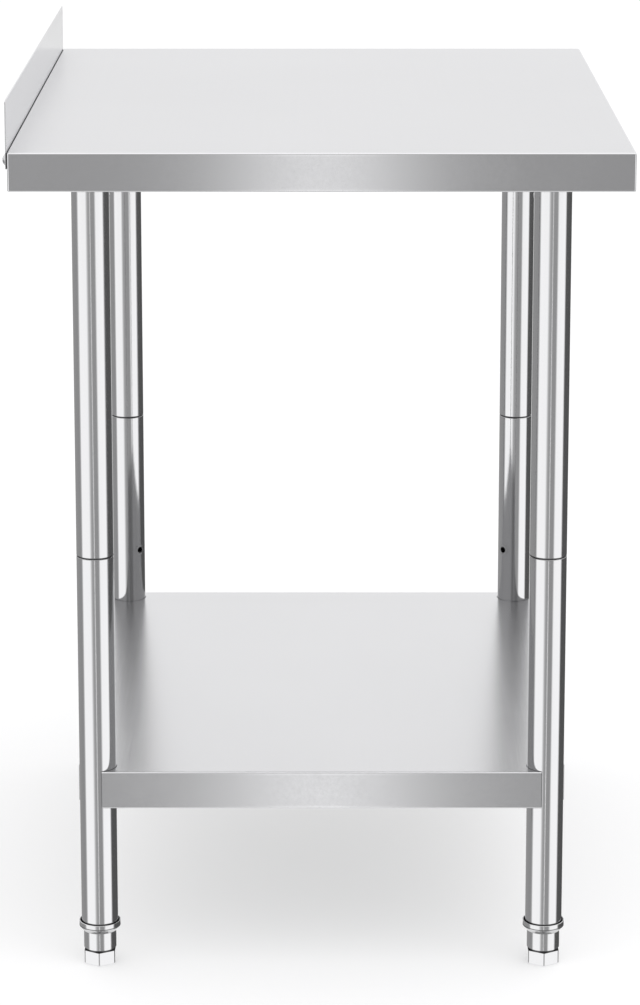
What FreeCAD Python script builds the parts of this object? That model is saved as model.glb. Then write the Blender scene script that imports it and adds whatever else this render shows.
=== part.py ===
import FreeCAD, Part
import math
import os

from FreeCAD import Vector

# Free-standing stainless work table: folded worktop on four two-piece tube
# legs, a lower shelf notched round the legs, a screwed-on rear upstand and
# four screw-adjusted feet.
#
# Frame: +Z up, +X along the length, +Y towards the upstand.  The origin is on
# the floor at the middle of the worktop.  The user stands on the -Y side, so
# left is -X and front is -Y.  Millimetres.

os.makedirs("parts", exist_ok=True)

# ---- driving dimensions ---------------------------------------------------
TOP_LENGTH = 762.0          # 30 in, X
TOP_WIDTH = 610.0           # 24 in, Y
TOP_HEIGHT = 863.6          # 34 in, floor to worktop
TOP_APRON = 38.5            # depth of the folded edge
TOP_SHEET = 1.0
TOP_HEM = 14.0              # return flange under the folded edge
BEND = 1.5                  # outside radius of every fold
CORNER = 1.6                # radius of the ground corner welds

UPSTAND_RISE = 50.8         # above the worktop
UPSTAND_DROP = 16.4         # below the worktop, behind the rear apron
UPSTAND_LENGTH = 760.0
UPSTAND_GAP = 0.4           # between the rear apron and the upstand
UPSTAND_SHEET = 1.2
UPSTAND_SCREW_X = (-363.0, 0.0, 363.0)
UPSTAND_SCREW_Z = TOP_HEIGHT - 9.4

LEG_X = 302.0               # leg axes
LEG_Y = 230.0
LEG_R = 19.0
LEG_WALL = 1.0
LEG_TOP_Z = 834.6
SEAM_Z = 438.0
SEAM_GAP = 1.3
LEG_BOTTOM_Z = 41.0
SLEEVE_LENGTH = 96.0
SLEEVE_WALL = 1.5

SHELF_X = 322.0             # outside faces of the shelf aprons
SHELF_Y = 250.0
SHELF_TOP_Z = 212.7
SHELF_APRON = 39.3
SHELF_SHEET = 0.8
SHELF_HEM = 12.0
NOTCH_R = 19.6              # shelf cut-out round a leg
NOTCH_X = 297.0             # where the side aprons stop
NOTCH_Y = 225.0             # where the end aprons stop
SHELF_BOLT_Z = 193.0
SPARE_HOLE_Z = 275.0
INSERT_BORE_R = 3.6         # M8 thread, at its pitch radius
INSERT_BODY_R = 4.9
INSERT_FLANGE_R = 6.3
INSERT_FLANGE = 0.8
SCREW_R = INSERT_BORE_R - 0.05

CHANNEL_DEPTH = 24.0
CHANNEL_SHEET = 1.0
CHANNEL_WEB = 78.0
CHANNEL_FLANGE = 14.0

COLLAR_R = 21.4
COLLAR_TOP_Z = 46.0
COLLAR_BOTTOM_Z = 35.6
COLLAR_CHAMFER_Z = 40.2
COLLAR_MOUTH_R = 20.4
INSERT_TOP_Z = 92.0
INSERT_WEB_Z = 72.0

FOOT_BARREL_R = 16.9
FOOT_BARREL_BORE = 14.6
FOOT_HEX_AF = 31.6
FOOT_HEX_EDGE = 2.6          # rounding of the hexagon's upright edges
FOOT_HEX_TOP_Z = 14.4
FOOT_HEX_BOTTOM_Z = 0.5
FOOT_GROOVE_R = 15.3         # turned groove between hexagon and barrel
FOOT_ROUND_Z = 16.6
FOOT_CUP_Z = 19.0
FOOT_BARREL_TOP_Z = 50.0
FOOT_STEM_R = 6.0           # M12
FOOT_STEM_TOP_Z = 86.0
FOOT_TRAVEL = 17.5          # upward, into the leg: ten turns
GLIDE_R = 12.0
GLIDE_Z = 3.2

CORNERS = {
    "front_left": (-1, -1),
    "front_right": (1, -1),
    "rear_left": (-1, 1),
    "rear_right": (1, 1),
}
# a corner of each hexagon, degrees from +X
HEX_TURN = {"front_left": 181.0, "front_right": 12.0, "rear_left": 178.5, "rear_right": 41.0}

UP = Vector(0, 0, 1)


# ---- helpers --------------------------------------------------------------
def box(x0, x1, y0, y1, z0, z1):
    return Part.makeBox(x1 - x0, y1 - y0, z1 - z0, Vector(x0, y0, z0))


def rod(radius, start, end):
    axis = end - start
    return Part.makeCylinder(radius, axis.Length, start, axis)


def tube(ro, ri, z0, z1, x, y):
    a, b = Vector(x, y, z0), Vector(x, y, z1)
    return rod(ro, a, b).cut(rod(ri, a - UP, b + UP))


def fuse(shapes):
    out = shapes[0]
    for s in shapes[1:]:
        out = out.fuse(s)
    return out.removeSplitter()


def solid(shape):
    """The one solid of a shape."""
    solids = shape.Solids
    if len(solids) != 1 or not shape.isValid():
        raise RuntimeError("expected one valid solid, got %d" % len(solids))
    return solids[0]


def vertical(edge):
    a, b = edge.Vertexes[0].Point, edge.Vertexes[-1].Point
    return abs(a.x - b.x) < 1e-6 and abs(a.y - b.y) < 1e-6 and abs(a.z - b.z) > 1e-6


def horizontal(edge, z):
    return all(abs(v.Point.z - z) < 1e-6 for v in edge.Vertexes)


def rounded_block(x, y, z0, z1, corner, bend):
    s = box(-x, x, -y, y, z0, z1)
    s = s.makeFillet(corner, [e for e in s.Edges if vertical(e)])
    edges = [e for e in s.Edges if horizontal(e, z0) or horizontal(e, z1)]
    return s.makeFillet(bend, edges)


def tray(x, y, z1, depth, sheet, corner, bend, hem):
    """A sheet folded down on four sides, with a return flange all round."""
    z0 = z1 - depth
    skin = rounded_block(x, y, z0, z1, corner, bend)
    skin = skin.cut(rounded_block(x - sheet, y - sheet, z0 + sheet, z1 - sheet,
                                  corner - sheet, bend - sheet))
    wx, wy = x - sheet - hem, y - sheet - hem
    skin = skin.cut(box(-wx, wx, -wy, wy, z0 - 1, z0 + sheet + 0.2))
    # mitred gaps between the return flanges
    run = (hem - 1.5) * math.sqrt(2)
    for sx in (-1, 1):
        for sy in (-1, 1):
            slit = box(-2, run, -0.4, 0.4, z0 - 1, z0 + sheet + 0.2)
            slit.rotate(Vector(0, 0, 0), UP, math.degrees(math.atan2(sy, sx)))
            slit.translate(Vector(sx * wx, sy * wy, 0))
            skin = skin.cut(slit)
    return skin


def extrude(points, vector):
    return Part.Face(Part.makePolygon(points + [points[0]])).extrude(vector)


def inward(corner):
    sx, sy = CORNERS[corner]
    return Vector(-sx, -sy, 0).normalize()


def axis_point(corner, z):
    sx, sy = CORNERS[corner]
    return Vector(sx * LEG_X, sy * LEG_Y, z)


def dome(radius, height, base, direction):
    """A low domed screw head, its flat side on base."""
    big = (radius * radius + height * height) / (2 * height)
    d = Vector(direction).normalize()
    ball = Part.makeSphere(big, base + d * (height - big))
    keep = rod(radius + 1, base, base + d * (height + 1))
    return ball.common(keep)


def hexagon(radius, base, direction, length, turn=0.0):
    d = Vector(direction).normalize()
    side = d.cross(UP) if abs(d.dot(UP)) < 0.9 else Vector(1, 0, 0)
    side.normalize()
    other = d.cross(side)
    pts = []
    for i in range(6):
        a = math.radians(60 * i + turn)
        pts.append(base + side * (radius * math.cos(a)) + other * (radius * math.sin(a)))
    return extrude(pts, d * length)


def save(name, shape):
    shape.exportStep("parts/" + name + ".step")


# ---- worktop --------------------------------------------------------------
top_x, top_y = TOP_LENGTH / 2, TOP_WIDTH / 2
apron_in = top_y - TOP_SHEET
worktop = tray(top_x, top_y, TOP_HEIGHT, TOP_APRON, TOP_SHEET, CORNER, BEND, TOP_HEM)
for x in UPSTAND_SCREW_X:
    worktop = worktop.cut(rod(3.2, Vector(x, apron_in - 1, UPSTAND_SCREW_Z),
                              Vector(x, top_y + 1, UPSTAND_SCREW_Z)))
save("worktop", solid(worktop))

# ---- rear upstand, its screws and nuts --------------------------------------
up_y0 = top_y + UPSTAND_GAP
up_y1 = up_y0 + UPSTAND_SHEET
upstand = box(-UPSTAND_LENGTH / 2, UPSTAND_LENGTH / 2, up_y0, up_y1,
              TOP_HEIGHT - UPSTAND_DROP, TOP_HEIGHT + UPSTAND_RISE)
ends = [e for e in upstand.Edges
        if abs(e.Vertexes[0].Point.y - e.Vertexes[-1].Point.y) > 1e-6]
upstand = upstand.makeFillet(1.6, ends)
rims = [e for e in upstand.Edges
        if abs(e.Vertexes[0].Point.y - e.Vertexes[-1].Point.y) < 1e-6]
upstand = upstand.makeFillet(0.3, rims)
for x in UPSTAND_SCREW_X:
    upstand = upstand.cut(rod(3.2, Vector(x, up_y0 - 1, UPSTAND_SCREW_Z),
                              Vector(x, up_y1 + 1, UPSTAND_SCREW_Z)))
save("rear_upstand", solid(upstand))

screws, nuts, washers = [], [], []
for x in UPSTAND_SCREW_X:
    base = Vector(x, up_y1, UPSTAND_SCREW_Z)
    head = dome(6.6, 4.3, base, Vector(0, 1, 0))
    shank = rod(3.0, Vector(x, apron_in - 8.2, UPSTAND_SCREW_Z), base + Vector(0, 0.5, 0))
    s = head.fuse(shank).removeSplitter()
    # cross recess
    s = s.cut(box(x - 0.5, x + 0.5, up_y1 + 2.4, up_y1 + 6,
                  UPSTAND_SCREW_Z - 3.1, UPSTAND_SCREW_Z + 3.1))
    s = s.cut(box(x - 3.1, x + 3.1, up_y1 + 2.4, up_y1 + 6,
                  UPSTAND_SCREW_Z - 0.5, UPSTAND_SCREW_Z + 0.5))
    screws.append(solid(s))
    w = rod(6.0, Vector(x, apron_in - 1.2, UPSTAND_SCREW_Z), Vector(x, apron_in, UPSTAND_SCREW_Z))
    washers.append(solid(w.cut(rod(3.2, Vector(x, apron_in - 3, UPSTAND_SCREW_Z),
                                   Vector(x, apron_in + 1, UPSTAND_SCREW_Z)))))
    n = hexagon(5.7, Vector(x, apron_in - 1.2, UPSTAND_SCREW_Z), Vector(0, -1, 0), 5.0)
    n = n.cut(rod(3.05, Vector(x, apron_in - 8, UPSTAND_SCREW_Z),
                  Vector(x, apron_in + 1, UPSTAND_SCREW_Z)))
    nuts.append(solid(n))
save("upstand_screws", Part.makeCompound(screws))
save("upstand_washers", Part.makeCompound(washers))
save("upstand_nuts", Part.makeCompound(nuts))

# ---- stiffening channels under the worktop ----------------------------------
ch_top = TOP_HEIGHT - TOP_SHEET
ch_bottom = ch_top - CHANNEL_DEPTH
t = CHANNEL_SHEET
half = CHANNEL_WEB / 2


def hat(half_web, flange, sheet, z0, z1):
    """Outline of a hat channel, as (across, z) pairs."""
    return [
        (-half_web - flange, z1), (-half_web - flange, z1 - sheet),
        (-half_web, z1 - sheet), (-half_web, z0), (half_web, z0),
        (half_web, z1 - sheet), (half_web + flange, z1 - sheet),
        (half_web + flange, z1), (half_web - sheet, z1),
        (half_web - sheet, z0 + sheet), (-half_web + sheet, z0 + sheet),
        (-half_web + sheet, z1),
    ]


RIVETS = ((-27.0, -27.0), (27.0, -27.0), (-27.0, 27.0), (27.0, 27.0))
for side, sx in (("left", -1), ("right", 1)):
    pts = [Vector(sx * LEG_X + a, -288.0, z) for a, z in hat(half, CHANNEL_FLANGE, t, ch_bottom, ch_top)]
    channel = extrude(pts, Vector(0, 576.0, 0))
    for sy in (-1, 1):
        for rx, ry in RIVETS:
            p = Vector(sx * LEG_X + rx, sy * LEG_Y + ry, ch_bottom - 1)
            channel = channel.cut(rod(2.5, p, p + UP * (t + 2)))
    save("top_channel_" + side, solid(channel))

cc = LEG_X - half - CHANNEL_FLANGE - 2.0
pts = [Vector(-cc, a, z) for a, z in hat(30.0, CHANNEL_FLANGE, t, ch_bottom, ch_top)]
save("top_channel_centre", solid(extrude(pts, Vector(2 * cc, 0, 0))))

# ---- leg sockets: plate with a spigot that enters the leg -------------------
plate_t = 3.0
spigot_r = LEG_R - LEG_WALL - 0.1
top_screw_z = 806.0
rivets = []
for corner, (sx, sy) in CORNERS.items():
    c = axis_point(corner, 0)
    plate = box(c.x - 36, c.x + 36, c.y - 36, c.y + 36, ch_bottom - plate_t, ch_bottom)
    plate = plate.makeFillet(6.0, [e for e in plate.Edges if vertical(e)])
    for rx, ry in RIVETS:
        p = Vector(c.x + rx, c.y + ry, ch_bottom - plate_t - 1)
        plate = plate.cut(rod(2.5, p, p + UP * (plate_t + 2)))
        foot_of = Vector(c.x + rx, c.y + ry, ch_bottom - plate_t)
        top_of = Vector(c.x + rx, c.y + ry, ch_bottom + t)
        rivet = fuse([dome(4.6, 1.8, foot_of, Vector(0, 0, -1)), rod(2.45, foot_of - UP * 0.3, top_of + UP * 0.3),
                      dome(4.2, 1.6, top_of, UP)])
        rivets.append(solid(rivet))
    spigot = tube(spigot_r, spigot_r - 2.2, ch_bottom - plate_t - 62.0, ch_bottom - plate_t, c.x, c.y)
    socket = plate.fuse(spigot).removeSplitter()
    d = inward(corner)
    q = axis_point(corner, top_screw_z)
    socket = socket.cut(rod(INSERT_BODY_R + 0.05, q + d * 10, q + d * 22))
    save("leg_socket_" + corner, solid(socket))
save("socket_rivets", Part.makeCompound(rivets))


# ---- legs --------------------------------------------------------------------
def leg_tube(corner, z0, z1, holes):
    c = axis_point(corner, 0)
    outer = rod(LEG_R, Vector(c.x, c.y, z0), Vector(c.x, c.y, z1))
    outer = outer.makeChamfer(0.35, [e for e in outer.Edges if horizontal(e, z0) or horizontal(e, z1)])
    leg = outer.cut(rod(LEG_R - LEG_WALL, Vector(c.x, c.y, z0 - 1), Vector(c.x, c.y, z1 + 1)))
    d = inward(corner)
    for z in holes:
        q = axis_point(corner, z)
        leg = leg.cut(rod(INSERT_BODY_R + 0.05, q + d * 10, q + d * 24))
    return solid(leg)


for corner in CORNERS:
    save("leg_upper_" + corner, leg_tube(corner, SEAM_Z + SEAM_GAP / 2, LEG_TOP_Z, (top_screw_z,)))
    save("leg_lower_" + corner, leg_tube(corner, LEG_BOTTOM_Z, SEAM_Z - SEAM_GAP / 2,
                                         (SHELF_BOLT_Z, SPARE_HOLE_Z)))
    c = axis_point(corner, 0)
    sleeve_r = LEG_R - LEG_WALL - 0.05
    sleeve = tube(sleeve_r, sleeve_r - SLEEVE_WALL, SEAM_Z - SLEEVE_LENGTH / 2,
                  SEAM_Z + SLEEVE_LENGTH / 2, c.x, c.y)
    save("leg_sleeve_" + corner, solid(sleeve))


# ---- threaded inserts set in the leg walls, and the screws in them ------------
def insert(corner, z):
    """Rivet nut: a thin flange that follows the tube and a threaded barrel."""
    d, q = inward(corner), axis_point(corner, z)
    ring = rod(INSERT_FLANGE_R, q + d * 15, q + d * 24)
    shell = tube(LEG_R + INSERT_FLANGE, LEG_R + 0.02, z - 9, z + 9, q.x, q.y)
    body = rod(INSERT_BODY_R, q + d * 9.0, q + d * 19.3)
    nut = ring.common(shell).fuse(body).removeSplitter()
    nut = nut.cut(rod(INSERT_BORE_R, q + d * 8, q + d * 24))
    return solid(nut)


def button_screw(corner, z, seat, tip):
    """Button head screw: head on the seat radius, tip inside the leg."""
    d, q = inward(corner), axis_point(corner, z)
    head = dome(6.6, 3.9, q + d * seat, d)
    s = head.fuse(rod(SCREW_R, q + d * tip, q + d * (seat + 0.4))).removeSplitter()
    return solid(s.cut(hexagon(2.9, q + d * (seat + 1.8), d, 4.0)))


save("leg_inserts", Part.makeCompound([insert(c, SHELF_BOLT_Z) for c in CORNERS]
                                      + [insert(c, top_screw_z) for c in CORNERS]))
save("spare_leg_inserts", Part.makeCompound([insert(c, SPARE_HOLE_Z) for c in CORNERS]))
save("leg_top_screws", Part.makeCompound([button_screw(c, top_screw_z, LEG_R + INSERT_FLANGE + 0.05, 7.0) for c in CORNERS]))

# ---- lower shelf ---------------------------------------------------------------
shelf = tray(SHELF_X, SHELF_Y, SHELF_TOP_Z, SHELF_APRON, SHELF_SHEET, CORNER, BEND, SHELF_HEM)
z0, z1 = SHELF_TOP_Z - SHELF_APRON - 2, SHELF_TOP_Z + 2
for corner, (sx, sy) in CORNERS.items():
    c = axis_point(corner, 0)
    shelf = shelf.cut(rod(NOTCH_R, Vector(c.x, c.y, z0), Vector(c.x, c.y, z1)))
    xs = sorted((sx * NOTCH_X, sx * (SHELF_X + 5)))
    ys = sorted((sy * NOTCH_Y, sy * (SHELF_Y + 5)))
    shelf = shelf.cut(box(xs[0], xs[1], ys[0], ys[1], z0, z1))
save("lower_shelf", solid(shelf))

# shelf stiffener along the length
sh_top = SHELF_TOP_Z - SHELF_SHEET
pts = [Vector(-300.0, a, z) for a, z in hat(35.0, CHANNEL_FLANGE, SHELF_SHEET, sh_top - 22.0, sh_top)]
save("shelf_channel", solid(extrude(pts, Vector(600.0, 0, 0))))

# corner brackets: a saddle round the leg with wings to both aprons
br_t = 2.0
br_z0, br_z1 = SHELF_TOP_Z - SHELF_APRON + SHELF_SHEET + 1.4, sh_top - 1.4
bolts = []
for corner, (sx, sy) in CORNERS.items():
    c = axis_point(corner, 0)
    ri, ro = NOTCH_R, NOTCH_R + br_t
    wall_x = SHELF_X - SHELF_SHEET - LEG_X
    wall_y = SHELF_Y - SHELF_SHEET - LEG_Y
    k = math.sqrt(0.5)
    p = [Vector(x, y, br_z0) for x, y in (
        (wall_x, -ri), (0, -ri), (-ri * k, -ri * k), (-ri, 0), (-ri, wall_y),
        (-ro - 16, wall_y), (-ro - 16, wall_y - br_t), (-ro, wall_y - br_t), (-ro, 0),
        (-ro * k, -ro * k), (0, -ro), (wall_x - br_t, -ro), (wall_x - br_t, -ro - 16),
        (wall_x, -ro - 16))]

    def line(i, j):
        return Part.LineSegment(p[i], p[j]).toShape()

    outline = Part.Wire([
        line(0, 1), Part.Arc(p[1], p[2], p[3]).toShape(), line(3, 4), line(4, 5), line(5, 6),
        line(6, 7), line(7, 8), Part.Arc(p[8], p[9], p[10]).toShape(), line(10, 11),
        line(11, 12), line(12, 13), line(13, 0)])
    bracket = Part.Face(outline).extrude(Vector(0, 0, br_z1 - br_z0))
    hole = rod(4.2, Vector(0, 0, SHELF_BOLT_Z), Vector(-30, -30, SHELF_BOLT_Z))
    bracket = bracket.cut(hole)
    # relief for the flange of the leg's threaded insert
    relief = rod(INSERT_FLANGE_R + 0.6, Vector(-8, -8, SHELF_BOLT_Z),
                 Vector(-(NOTCH_R + 0.6) * k, -(NOTCH_R + 0.6) * k, SHELF_BOLT_Z))
    bracket = bracket.cut(relief)
    # mirror the rear-right shape into its own corner
    if sx < 0:
        bracket = bracket.mirror(Vector(0, 0, 0), Vector(1, 0, 0))
    if sy < 0:
        bracket = bracket.mirror(Vector(0, 0, 0), Vector(0, 1, 0))
    bracket.translate(Vector(c.x, c.y, 0))
    save("shelf_bracket_" + corner, solid(bracket))
    d, q = inward(corner), axis_point(corner, SHELF_BOLT_Z)
    seat = ro + 0.05
    washer = rod(8.0, q + d * (ro - 1.5), q + d * (ro + 1.2))
    washer = washer.cut(tube(ro + 0.02, 0.5, SHELF_BOLT_Z - 10, SHELF_BOLT_Z + 10, c.x, c.y))
    head = hexagon(7.2, q + d * (ro + 1.2), d, 5.0)
    shank = rod(SCREW_R, q + d * 5.0, q + d * (ro + 1.4))
    bolts.append(solid(head.fuse(washer).fuse(shank).removeSplitter()))
save("shelf_bolts", Part.makeCompound(bolts))


# ---- adjustable feet -------------------------------------------------------------
def revolve(points, x, y):
    """Points are (radius, z); an entry of three is the middle of an arc."""
    edges, i, n = [], 0, len(points)
    while i < n:
        a, b = points[i], points[(i + 1) % n]
        if len(b) == 3:
            e = points[(i + 2) % n]
            edges.append(Part.Arc(Vector(a[0], 0, a[1]), Vector(b[0], 0, b[1]), Vector(e[0], 0, e[1])).toShape())
            i += 2
        else:
            edges.append(Part.LineSegment(Vector(a[0], 0, a[1]), Vector(b[0], 0, b[1])).toShape())
            i += 1
    face = Part.Face(Part.Wire(edges))
    s = face.revolve(Vector(0, 0, 0), UP, 360)
    s.translate(Vector(x, y, 0))
    return s


def foot_shape(turn):
    corner_r = FOOT_HEX_AF / 2 / math.cos(math.radians(30))
    base = [Vector(corner_r * math.cos(math.radians(turn + 60 * i)),
                   corner_r * math.sin(math.radians(turn + 60 * i)), FOOT_HEX_BOTTOM_Z) for i in range(6)]
    block = extrude(base, UP * (FOOT_HEX_TOP_Z - FOOT_HEX_BOTTOM_Z))
    block = block.makeFillet(FOOT_HEX_EDGE, [e for e in block.Edges if vertical(e)])
    # broken corners at the floor edge of the hexagon
    cone = revolve([(0.0, FOOT_HEX_BOTTOM_Z), (corner_r - 1.3, FOOT_HEX_BOTTOM_Z),
                    (corner_r + 0.2, FOOT_HEX_BOTTOM_Z + 1.2), (corner_r + 0.2, FOOT_HEX_TOP_Z + 1),
                    (0.0, FOOT_HEX_TOP_Z + 1)], 0, 0)
    block = block.common(cone)
    # turned groove, barrel with its bore, and the threaded stem
    body = revolve([
        (0.0, FOOT_HEX_TOP_Z - 0.6), (FOOT_GROOVE_R, FOOT_HEX_TOP_Z - 0.6), (FOOT_GROOVE_R, FOOT_ROUND_Z),
        (FOOT_BARREL_R - 0.3, FOOT_ROUND_Z), (FOOT_BARREL_R, FOOT_ROUND_Z + 0.3),
        (FOOT_BARREL_R, FOOT_BARREL_TOP_Z - 0.8), (FOOT_BARREL_R - 0.8, FOOT_BARREL_TOP_Z),
        (FOOT_BARREL_BORE, FOOT_BARREL_TOP_Z), (FOOT_BARREL_BORE, FOOT_CUP_Z), (FOOT_STEM_R, FOOT_CUP_Z),
        (FOOT_STEM_R, FOOT_STEM_TOP_Z - 1.0), (FOOT_STEM_R - 1.0, FOOT_STEM_TOP_Z), (0.0, FOOT_STEM_TOP_Z)], 0, 0)
    foot = block.fuse(body).removeSplitter()
    # recess and stud hole for the glide
    foot = foot.cut(rod(GLIDE_R + 0.3, Vector(0, 0, -1), Vector(0, 0, GLIDE_Z + 0.3)))
    foot = foot.cut(rod(2.55, Vector(0, 0, -1), Vector(0, 0, 7.6)))
    return solid(foot)


for corner in CORNERS:
    c = axis_point(corner, 0)
    rim = (COLLAR_R - COLLAR_MOUTH_R) / 2
    mid = (COLLAR_R + COLLAR_MOUTH_R) / 2
    sleeve_r = LEG_R - LEG_WALL - 0.1
    collar = revolve([
        (FOOT_BARREL_R + 0.35, COLLAR_BOTTOM_Z), (FOOT_BARREL_R + 0.8, COLLAR_BOTTOM_Z),
        (COLLAR_R, COLLAR_CHAMFER_Z), (COLLAR_R, COLLAR_TOP_Z - rim),
        (mid, COLLAR_TOP_Z, "arc"), (COLLAR_MOUTH_R, COLLAR_TOP_Z - rim),
        (COLLAR_MOUTH_R, LEG_BOTTOM_Z), (sleeve_r, LEG_BOTTOM_Z), (sleeve_r, INSERT_TOP_Z),
        (FOOT_STEM_R + 0.05, INSERT_TOP_Z), (FOOT_STEM_R + 0.05, INSERT_WEB_Z),
        (FOOT_BARREL_R + 0.35, INSERT_WEB_Z)], c.x, c.y)
    save("foot_socket_" + corner, solid(collar))
    foot = foot_shape(HEX_TURN[corner])
    foot.translate(c)
    save("foot_" + corner, foot)
    glide = revolve([(0.0, 0.0), (GLIDE_R - 0.6, 0.0), (GLIDE_R, 0.6), (GLIDE_R, GLIDE_Z),
                     (2.5, GLIDE_Z), (2.5, 7.0), (0.0, 7.0)], c.x, c.y)
    save("foot_glide_" + corner, solid(glide))
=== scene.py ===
import bpy
import bmesh
import math
from mathutils import Matrix, Vector

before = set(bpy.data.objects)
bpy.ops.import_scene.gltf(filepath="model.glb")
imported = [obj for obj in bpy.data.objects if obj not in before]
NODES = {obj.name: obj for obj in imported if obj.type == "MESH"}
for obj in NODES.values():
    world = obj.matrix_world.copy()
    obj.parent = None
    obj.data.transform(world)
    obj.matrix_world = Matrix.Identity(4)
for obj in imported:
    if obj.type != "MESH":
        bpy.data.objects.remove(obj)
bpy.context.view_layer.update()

CORNERS = {"front_left": (-1, -1), "front_right": (1, -1), "rear_left": (-1, 1), "rear_right": (1, 1)}
LEG_X, LEG_Y = 0.302, 0.230

scene = bpy.context.scene
scene.view_settings.view_transform = "Standard"
scene.view_settings.look = "None"
scene.view_settings.exposure = 0.0
scene.view_settings.gamma = 1.0


# ---- node helpers -----------------------------------------------------------
class Tree:
    """A short way to write a shader tree."""

    def __init__(self, tree):
        self.t = tree

    def node(self, kind, **settings):
        n = self.t.nodes.new(kind)
        for k, v in settings.items():
            setattr(n, k, v)
        return n

    def link(self, a, b):
        self.t.links.new(a, b)

    def put(self, value, socket):
        if hasattr(value, "is_output"):
            self.link(value, socket)
        else:
            socket.default_value = value

    def math(self, op, a, b=0.0, c=0.0, clamp=False):
        n = self.node("ShaderNodeMath", operation=op, use_clamp=clamp)
        for i, v in enumerate((a, b, c)):
            self.put(v, n.inputs[i])
        return n.outputs[0]

    def range(self, value, lo, hi, to_lo, to_hi, kind="LINEAR"):
        n = self.node("ShaderNodeMapRange", interpolation_type=kind)
        for i, v in enumerate((value, lo, hi, to_lo, to_hi)):
            self.put(v, n.inputs[i])
        return n.outputs[0]

    def noise(self, vector, scale, detail=2.0, rough=0.5):
        n = self.node("ShaderNodeTexNoise")
        self.link(vector, n.inputs["Vector"])
        n.inputs["Scale"].default_value = scale
        n.inputs["Detail"].default_value = detail
        n.inputs["Roughness"].default_value = rough
        return n.outputs[0]

    def stretch(self, vector, scale):
        n = self.node("ShaderNodeMapping")
        self.link(vector, n.inputs["Vector"])
        n.inputs["Scale"].default_value = scale
        return n.outputs[0]

    def mix(self, factor, a, b):
        n = self.node("ShaderNodeMix", data_type="RGBA")
        self.put(factor, n.inputs[0])
        for socket, v in ((n.inputs[6], a), (n.inputs[7], b)):
            if isinstance(v, tuple):
                socket.default_value = (*v, 1.0)
            else:
                self.link(v, socket)
        return n.outputs[2]

    def ramp(self, value, stops, kind="LINEAR"):
        n = self.node("ShaderNodeValToRGB")
        self.link(value, n.inputs[0])
        r = n.color_ramp
        r.interpolation = kind
        while len(r.elements) > 1:
            r.elements.remove(r.elements[-1])
        first = True
        for pos, v in stops:
            e = r.elements[0] if first else r.elements.new(pos)
            e.position = pos
            first = False
            e.color = (*(v if isinstance(v, tuple) else (v, v, v)), 1.0)
        return n.outputs[0]


def new_material(name):
    m = bpy.data.materials.new(name)
    m.use_nodes = True
    m.node_tree.nodes.clear()
    t = Tree(m.node_tree)
    out = t.node("ShaderNodeOutputMaterial")
    bsdf = t.node("ShaderNodeBsdfPrincipled")
    t.link(bsdf.outputs[0], out.inputs[0])
    return m, t, bsdf


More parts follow.
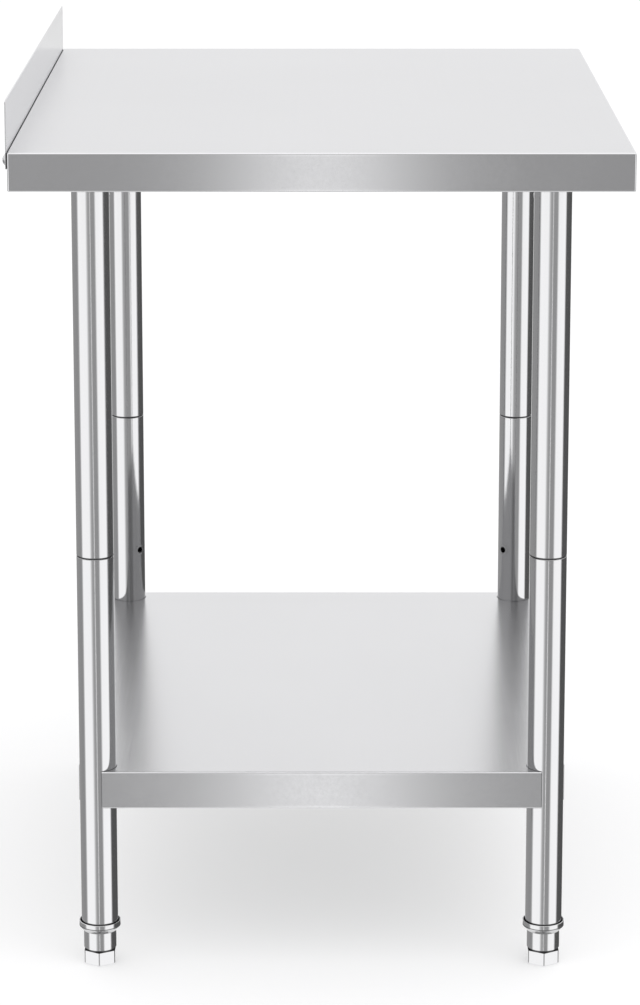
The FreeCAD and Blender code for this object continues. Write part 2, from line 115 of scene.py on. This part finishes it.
def steel(name, tint, rough, grain=(4.0, 900.0, 900.0), grain_amount=0.03, bump=0.05,
          bump_distance=0.00002, cloud=0.02, marks=0.0, flat_rough=None, sheet=None, painted_shade_bands=(), aniso=0.0):
    """Stainless steel with a drawn grain. grain is the noise's stretch along x, y and z;
    flat_rough is the roughness of faces that look up or down, if it differs. sheet is
    (half x, half y, low z, high z) of a folded sheet, for the wear on its folds and the
    painted highlight along them. The bands argument is a list of (axis, from, full,
    full to, to, amount) bands of painted shade, near black, along narrow joints and grooves."""
    m, t, b = new_material(name)
    where = t.node("ShaderNodeTexCoord").outputs["Object"]
    xyz = t.node("ShaderNodeSeparateXYZ")
    t.link(where, xyz.inputs[0])
    lines = t.noise(t.stretch(where, grain), 1.0, 3.0, 0.6)
    broad = t.noise(t.stretch(where, (2.2, 3.1, 2.6)), 1.0, 2.0, 0.5)
    fine = t.noise(t.stretch(where, tuple(g * 0.35 for g in grain)), 1.0, 2.0, 0.5)
    # colour: a little lighter and darker along the grain, and in broad clouds
    light = tuple(min(1.0, c * (1 + cloud)) for c in tint)
    dark = tuple(c * (1 - cloud) for c in tint)
    shade = t.math("ADD", t.range(broad, 0.3, 0.7, 0.0, 0.7), t.range(lines, 0.3, 0.7, 0.0, 0.3), clamp=True)
    colour = t.mix(shade, dark, light)
    fold_wear_and_highlight = None
    if sheet:
        # folds and corners are handled and wiped most, so smoother in patches; their lighter colour is a painted
        # highlight along the folds
        hx, hy, z0, z1 = sheet
        a = t.range(t.math("ABSOLUTE", xyz.outputs[0]), hx - 0.004, hx - 0.0012, 0.0, 1.0)
        c = t.range(t.math("ABSOLUTE", xyz.outputs[1]), hy - 0.004, hy - 0.0012, 0.0, 1.0)
        mid, half = (z0 + z1) / 2, (z1 - z0) / 2
        e = t.range(t.math("ABSOLUTE", t.math("SUBTRACT", xyz.outputs[2], mid)), half - 0.004, half - 0.0012, 0.0, 1.0)
        fold_wear_and_highlight = t.math("MAXIMUM", t.math("MINIMUM", a, c),
                      t.math("MAXIMUM", t.math("MINIMUM", c, e), t.math("MINIMUM", a, e)))
        patch = t.noise(t.stretch(where, (24.0, 24.0, 24.0)), 1.0, 3.0, 0.6)
        fold_wear_and_highlight = t.math("MULTIPLY", fold_wear_and_highlight, t.range(patch, 0.3, 0.65, 0.35, 1.0))
        colour = t.mix(t.math("MULTIPLY", fold_wear_and_highlight, 0.6), colour, tuple(min(1.0, c * 1.07) for c in tint))
    # painted shade: near black, and rougher, in bands along narrow joints and grooves
    painted_shade_mask = None
    for axis, z0, z1, z2, z3, amount in painted_shade_bands:
        value = xyz.outputs[axis]
        one = t.math("MULTIPLY", t.range(value, z0, z1, 0.0, 1.0), t.range(value, z2, z3, 1.0, 0.0))
        one = t.math("MULTIPLY", one, amount)
        painted_shade_mask = one if painted_shade_mask is None else t.math("MAXIMUM", painted_shade_mask, one)
    if painted_shade_mask is not None:
        colour = t.mix(painted_shade_mask, colour, (0.03, 0.03, 0.032))
    t.link(colour, b.inputs["Base Color"])
    b.inputs["Metallic"].default_value = 1.0
    if aniso:
        b.inputs["Anisotropic"].default_value = aniso
    # roughness: the grain's own change, on top of the face's level
    level = rough
    if flat_rough is not None:
        normal = t.node("ShaderNodeNewGeometry").outputs["Normal"]
        split = t.node("ShaderNodeSeparateXYZ")
        t.link(normal, split.inputs[0])
        up = t.math("ABSOLUTE", split.outputs[2])
        level = t.range(up, 0.55, 0.95, rough, flat_rough, "SMOOTHSTEP")
    r = t.math("ADD", level, t.range(lines, 0.25, 0.75, -grain_amount, grain_amount))
    r = t.math("ADD", r, t.range(fine, 0.3, 0.7, -grain_amount * 0.5, grain_amount * 0.5))
    if marks:
        # faint wiping marks
        wipe = t.noise(t.stretch(where, (9.0, 13.0, 11.0)), 1.0, 4.0, 0.65)
        r = t.math("ADD", r, t.range(wipe, 0.5, 0.75, 0.0, marks))
        # hairline scratches, thin and far apart, in two directions
        for turn in (0.5, 2.1):
            spin = t.node("ShaderNodeVectorRotate", rotation_type="Z_AXIS")
            t.link(where, spin.inputs["Vector"])
            spin.inputs["Angle"].default_value = turn
            hair = t.noise(t.stretch(spin.outputs[0], (7.0, 520.0, 300.0)), 1.0, 1.0, 0.4)
            r = t.math("ADD", r, t.range(hair, 0.72, 0.80, 0.0, marks * 0.8))
    if fold_wear_and_highlight is not None:
        r = t.math("SUBTRACT", r, t.math("MULTIPLY", fold_wear_and_highlight, 0.03))
    if painted_shade_mask is not None:
        r = t.math("ADD", r, t.math("MULTIPLY", painted_shade_mask, 0.4))
    t.link(t.math("MAXIMUM", r, 0.03), b.inputs["Roughness"])
    height = t.node("ShaderNodeBump")
    height.inputs["Strength"].default_value = bump
    height.inputs["Distance"].default_value = bump_distance
    t.link(lines, height.inputs["Height"])
    t.link(height.outputs[0], b.inputs["Normal"])
    return m


def galvanised(name):
    m, t, b = new_material(name)
    where = t.node("ShaderNodeTexCoord").outputs["Object"]
    cells = t.node("ShaderNodeTexVoronoi")
    t.link(t.stretch(where, (70.0, 95.0, 80.0)), cells.inputs["Vector"])
    cells.inputs["Scale"].default_value = 1.0
    split = t.node("ShaderNodeSeparateColor")
    t.link(cells.outputs["Color"], split.inputs[0])
    t.link(t.mix(split.outputs[0], (0.50, 0.52, 0.54), (0.68, 0.69, 0.70)), b.inputs["Base Color"])
    b.inputs["Metallic"].default_value = 1.0
    soft = t.noise(where, 60.0, 3.0)
    t.link(t.math("ADD", t.range(split.outputs[1], 0.0, 1.0, 0.34, 0.5), t.range(soft, 0.3, 0.7, -0.03, 0.03)),
           b.inputs["Roughness"])
    height = t.node("ShaderNodeBump")
    height.inputs["Strength"].default_value = 0.12
    height.inputs["Distance"].default_value = 0.00005
    t.link(soft, height.inputs["Height"])
    t.link(height.outputs[0], b.inputs["Normal"])
    return m


def nylon(name):
    m, t, b = new_material(name)
    where = t.node("ShaderNodeTexCoord").outputs["Object"]
    soft = t.noise(where, 350.0, 3.0)
    t.link(t.mix(soft, (0.035, 0.035, 0.038), (0.055, 0.055, 0.06)), b.inputs["Base Color"])
    t.link(t.range(soft, 0.3, 0.7, 0.42, 0.6), b.inputs["Roughness"])
    height = t.node("ShaderNodeBump")
    height.inputs["Strength"].default_value = 0.15
    height.inputs["Distance"].default_value = 0.00005
    t.link(soft, height.inputs["Height"])
    t.link(height.outputs[0], b.inputs["Normal"])
    return m


SHEET_TINT = (0.80, 0.80, 0.815)
# worktop: painted highlight along its folds, painted shade along its rear fold under the upstand
mat_top = steel("worktop_brushed", SHEET_TINT, 0.09, grain=(5.0, 700.0, 700.0), grain_amount=0.012,
                bump=0.03, marks=0.015, flat_rough=0.30, sheet=(0.381, 0.305, 0.8251, 0.8636),
                painted_shade_bands=((1, 0.3041, 0.3048, 0.31, 0.32, 0.6),))
# upstand: painted shade along its foot where it meets the worktop
mat_upstand = steel("upstand_brushed", (0.87, 0.87, 0.885), 0.22, grain=(5.0, 700.0, 700.0), grain_amount=0.02,
                    bump=0.04, marks=0.015, painted_shade_bands=((2, 0.80, 0.81, 0.8634, 0.8641, 0.7),))
# shelf: painted highlight along its folds
mat_shelf = steel("shelf_brushed", (0.835, 0.835, 0.85), 0.115, grain=(5.0, 700.0, 700.0), grain_amount=0.012,
                  bump=0.03, marks=0.015, flat_rough=0.25, sheet=(0.322, 0.250, 0.1734, 0.2127))
# legs: painted shade just above the foot socket's mouth and along the seam between the tube halves
mat_leg = steel("leg_polished", (0.80, 0.80, 0.812), 0.11, grain=(600.0, 600.0, 3.0), grain_amount=0.012,
                bump=0.02, cloud=0.012, painted_shade_bands=((2, 0.040, 0.041, 0.0460, 0.0472, 0.96),
                                              (2, 0.4366, 0.4371, 0.4389, 0.4394, 0.5)))
# the sleeve's near-black tint is painted shade, seen through the leg's seam gap
mat_sleeve_painted_shade = steel("inner_sleeve_painted_shade", (0.10, 0.10, 0.105), 0.45, grain=(500.0, 500.0, 4.0), bump=0.08)
# socket: painted shade ring where the tube enters its mouth
mat_collar = steel("foot_socket_polished", (0.79, 0.79, 0.80), 0.13, grain=(90.0, 90.0, 1500.0),
                   grain_amount=0.015, bump=0.02, cloud=0.012, painted_shade_bands=((2, 0.0405, 0.0409, 0.0411, 0.0420, 0.9),))
# foot: painted shade in the groove between barrel and hex
mat_foot = steel("foot_polished", (0.80, 0.80, 0.81), 0.13, grain=(90.0, 90.0, 1500.0),
                 grain_amount=0.015, bump=0.02, cloud=0.012, painted_shade_bands=((2, 0.01436, 0.0144, 0.0166, 0.01675, 0.85),))
mat_fastener = steel("fastener_turned", (0.74, 0.74, 0.75), 0.2, grain=(900.0, 900.0, 900.0),
                     grain_amount=0.03, bump=0.04)
mat_zinc = galvanised("zinc_plated_steel")
mat_glide = nylon("glide_nylon")


def material_of(node):
    if node == "worktop":
        return mat_top
    if node == "rear_upstand":
        return mat_upstand
    if node == "lower_shelf":
        return mat_shelf
    if node.startswith(("leg_upper", "leg_lower")):
        return mat_leg
    if node.startswith("leg_sleeve"):
        return mat_sleeve_painted_shade
    if node.startswith("foot_socket"):
        return mat_collar
    if node.startswith("foot_glide"):
        return mat_glide
    if node.startswith("foot_"):
        return mat_foot
    if "channel" in node or node.startswith(("leg_socket", "shelf_bracket")):
        return mat_zinc
    return mat_fastener


for name, obj in NODES.items():
    obj.data.materials.clear()
    obj.data.materials.append(material_of(name))

# ---- camera -------------------------------------------------------------------
cam_data = bpy.data.cameras.new("camera")
cam = bpy.data.objects.new("camera", cam_data)
scene.collection.objects.link(cam)
PITCH = 0.2057
FOCAL_PX = 3466.7
cam.location = (-3.6945, 0.00126, 1.40818)
forward = Vector((math.cos(PITCH), 0.0, -math.sin(PITCH)))
cam.rotation_mode = "QUATERNION"
cam.rotation_quaternion = forward.to_track_quat("-Z", "Y")
cam_data.sensor_width = 36.0
cam_data.lens = FOCAL_PX / 1005.0 * 36.0
cam_data.shift_y = -0.20
cam_data.shift_x = -0.0004
cam_data.dof.use_dof = False
cam_data.clip_start = 0.05
cam_data.clip_end = 200.0
scene.camera = cam

# ---- floor, light -----------------------------------------------------------------
floor_mesh = bpy.data.meshes.new("floor")
bm = bmesh.new()
bmesh.ops.create_grid(bm, x_segments=8, y_segments=8, size=40.0)
bm.to_mesh(floor_mesh)
bm.free()
floor = bpy.data.objects.new("floor", floor_mesh)
scene.collection.objects.link(floor)
floor.visible_glossy = False
m, t, b = new_material("floor_pale")
where = t.node("ShaderNodeTexCoord").outputs["Object"]
soft = t.noise(where, 1.3, 2.0)
t.link(t.mix(soft, (0.49, 0.49, 0.495), (0.51, 0.51, 0.515)), b.inputs["Base Color"])
b.inputs["Roughness"].default_value = 0.9
b.inputs["Specular IOR Level"].default_value = 0.0
b.inputs["Emission Color"].default_value = (1.0, 1.0, 1.0, 1.0)
b.inputs["Emission Strength"].default_value = 0.52
floor_mesh.materials.append(m)

world = bpy.data.worlds.new("studio")
scene.world = world
world.use_nodes = True
world.node_tree.nodes.clear()
w = Tree(world.node_tree)
out = w.node("ShaderNodeOutputWorld")
direction = w.node("ShaderNodeTexCoord").outputs["Generated"]
xyz = w.node("ShaderNodeSeparateXYZ")
w.link(direction, xyz.inputs[0])
# azimuth in degrees: 0 towards the end of the table that is looked at, positive to -Y
azimuth = w.math("MULTIPLY", w.math("ARCTAN2", w.math("MULTIPLY", xyz.outputs[1], -1.0),
                                    w.math("MULTIPLY", xyz.outputs[0], -1.0)), 57.29578)
turn = w.math("ADD", w.math("DIVIDE", azimuth, 360.0), 0.5)


def around(stops):
    return [(0.5 + a / 360.0, v) for a, v in stops]


# the tent as seen downwards (white walls, with two grey cards and one black one)
LOW = around([(-180, 0.90), (-168, 0.90), (-160, 0.34), (-92, 0.30), (-84, 0.42), (-77, 1.10), (-28, 1.10),
              (-16, 0.42), (-5, 0.35), (5, 0.33), (26, 0.32), (35, 1.10), (80, 1.12), (90, 0.10), (158, 0.09),
              (168, 0.90), (180, 0.90)])
# as seen slightly upwards
HIGH = around([(-180, 0.945), (-130, 0.945), (-100, 0.93), (-74, 1.0), (-26, 1.0), (-14, 0.45),
               (24, 0.40), (36, 0.85), (84, 0.90), (130, 0.94), (180, 0.945)])
# and level
LEVEL = around([(-180, 0.80), (-150, 0.92), (-142, 0.92), (-134, 0.36), (-118, 0.34), (-110, 0.95), (-90, 0.76),
                (-70, 0.95), (-62, 0.95), (-54, 0.38), (-38, 0.36), (-30, 0.95), (-14, 0.6), (14, 0.6),
                (30, 0.95), (38, 0.36), (54, 0.38), (62, 0.95), (70, 0.95), (90, 0.76), (110, 0.95),
                (118, 0.34), (134, 0.36), (142, 0.92), (150, 0.92), (180, 0.80)])
up0 = xyz.outputs[2]
low = w.ramp(turn, LOW)
high = w.ramp(turn, HIGH)
high = w.mix(w.range(up0, 0.13, 0.34, 0.0, 0.13), high, (0.0, 0.0, 0.0))
level = w.ramp(turn, LEVEL)
band = w.math("EXPONENT", w.math("MULTIPLY", w.math("POWER", w.math("DIVIDE", azimuth, 1.5), 2.0), -1.0))
up = xyz.outputs[2]
strip = w.range(up, -0.30, -0.17, 1.16, 0.98)
low = w.mix(band, low, w.mix(0.0, strip, (0.0, 0.0, 0.0)))
low = w.mix(w.range(up, -0.145, -0.10, 0.0, 1.0, "SMOOTHSTEP"), low, level)
tent = w.mix(w.range(up, 0.02, 0.08, 0.0, 1.0, "SMOOTHSTEP"), low, high)
tent = w.mix(w.range(up, 0.34, 0.56, 0.0, 1.0, "SMOOTHSTEP"), tent, (1.12, 1.12, 1.12))
tent = w.mix(w.range(up, -0.64, -0.50, 1.0, 0.0, "SMOOTHSTEP"), tent, (0.80, 0.80, 0.80))
# light that has already been off one piece of steel finds less of the tent
path = w.node("ShaderNodeLightPath")
again = w.math("GREATER_THAN", path.outputs["Ray Depth"], 2.5)
side = w.range(w.math("ABSOLUTE", azimuth), 140.0, 165.0, 1.0, 0.0, "SMOOTHSTEP")
tent = w.mix(w.math("MULTIPLY", w.math("MULTIPLY", again, side), 0.68), tent, (0.0, 0.0, 0.0))
lit = w.node("ShaderNodeBackground")
w.link(tent, lit.inputs["Color"])
lit.inputs["Strength"].default_value = 1.0
plain = w.node("ShaderNodeBackground")
plain.inputs["Color"].default_value = (1.0, 1.0, 1.0, 1.0)
plain.inputs["Strength"].default_value = 1.0
pick = w.node("ShaderNodeMixShader")
w.link(path.outputs["Is Camera Ray"], pick.inputs[0])
w.link(lit.outputs[0], pick.inputs[1])
w.link(plain.outputs[0], pick.inputs[2])
w.link(pick.outputs[0], out.inputs[0])

world.cycles.sampling_method = "NONE"

key_data = bpy.data.lights.new("key", "AREA")
key_data.shape = "RECTANGLE"
key_data.size, key_data.size_y = 3.0, 3.0
key_data.energy = 25.0
key = bpy.data.objects.new("key", key_data)
key.location = (-1.2, -0.8, 3.0)
key.rotation_mode = "QUATERNION"
key.rotation_quaternion = (Vector((0, 0, 0.5)) - key.location).to_track_quat("-Z", "Y")
key.visible_glossy = False
key.visible_camera = False
scene.collection.objects.link(key)
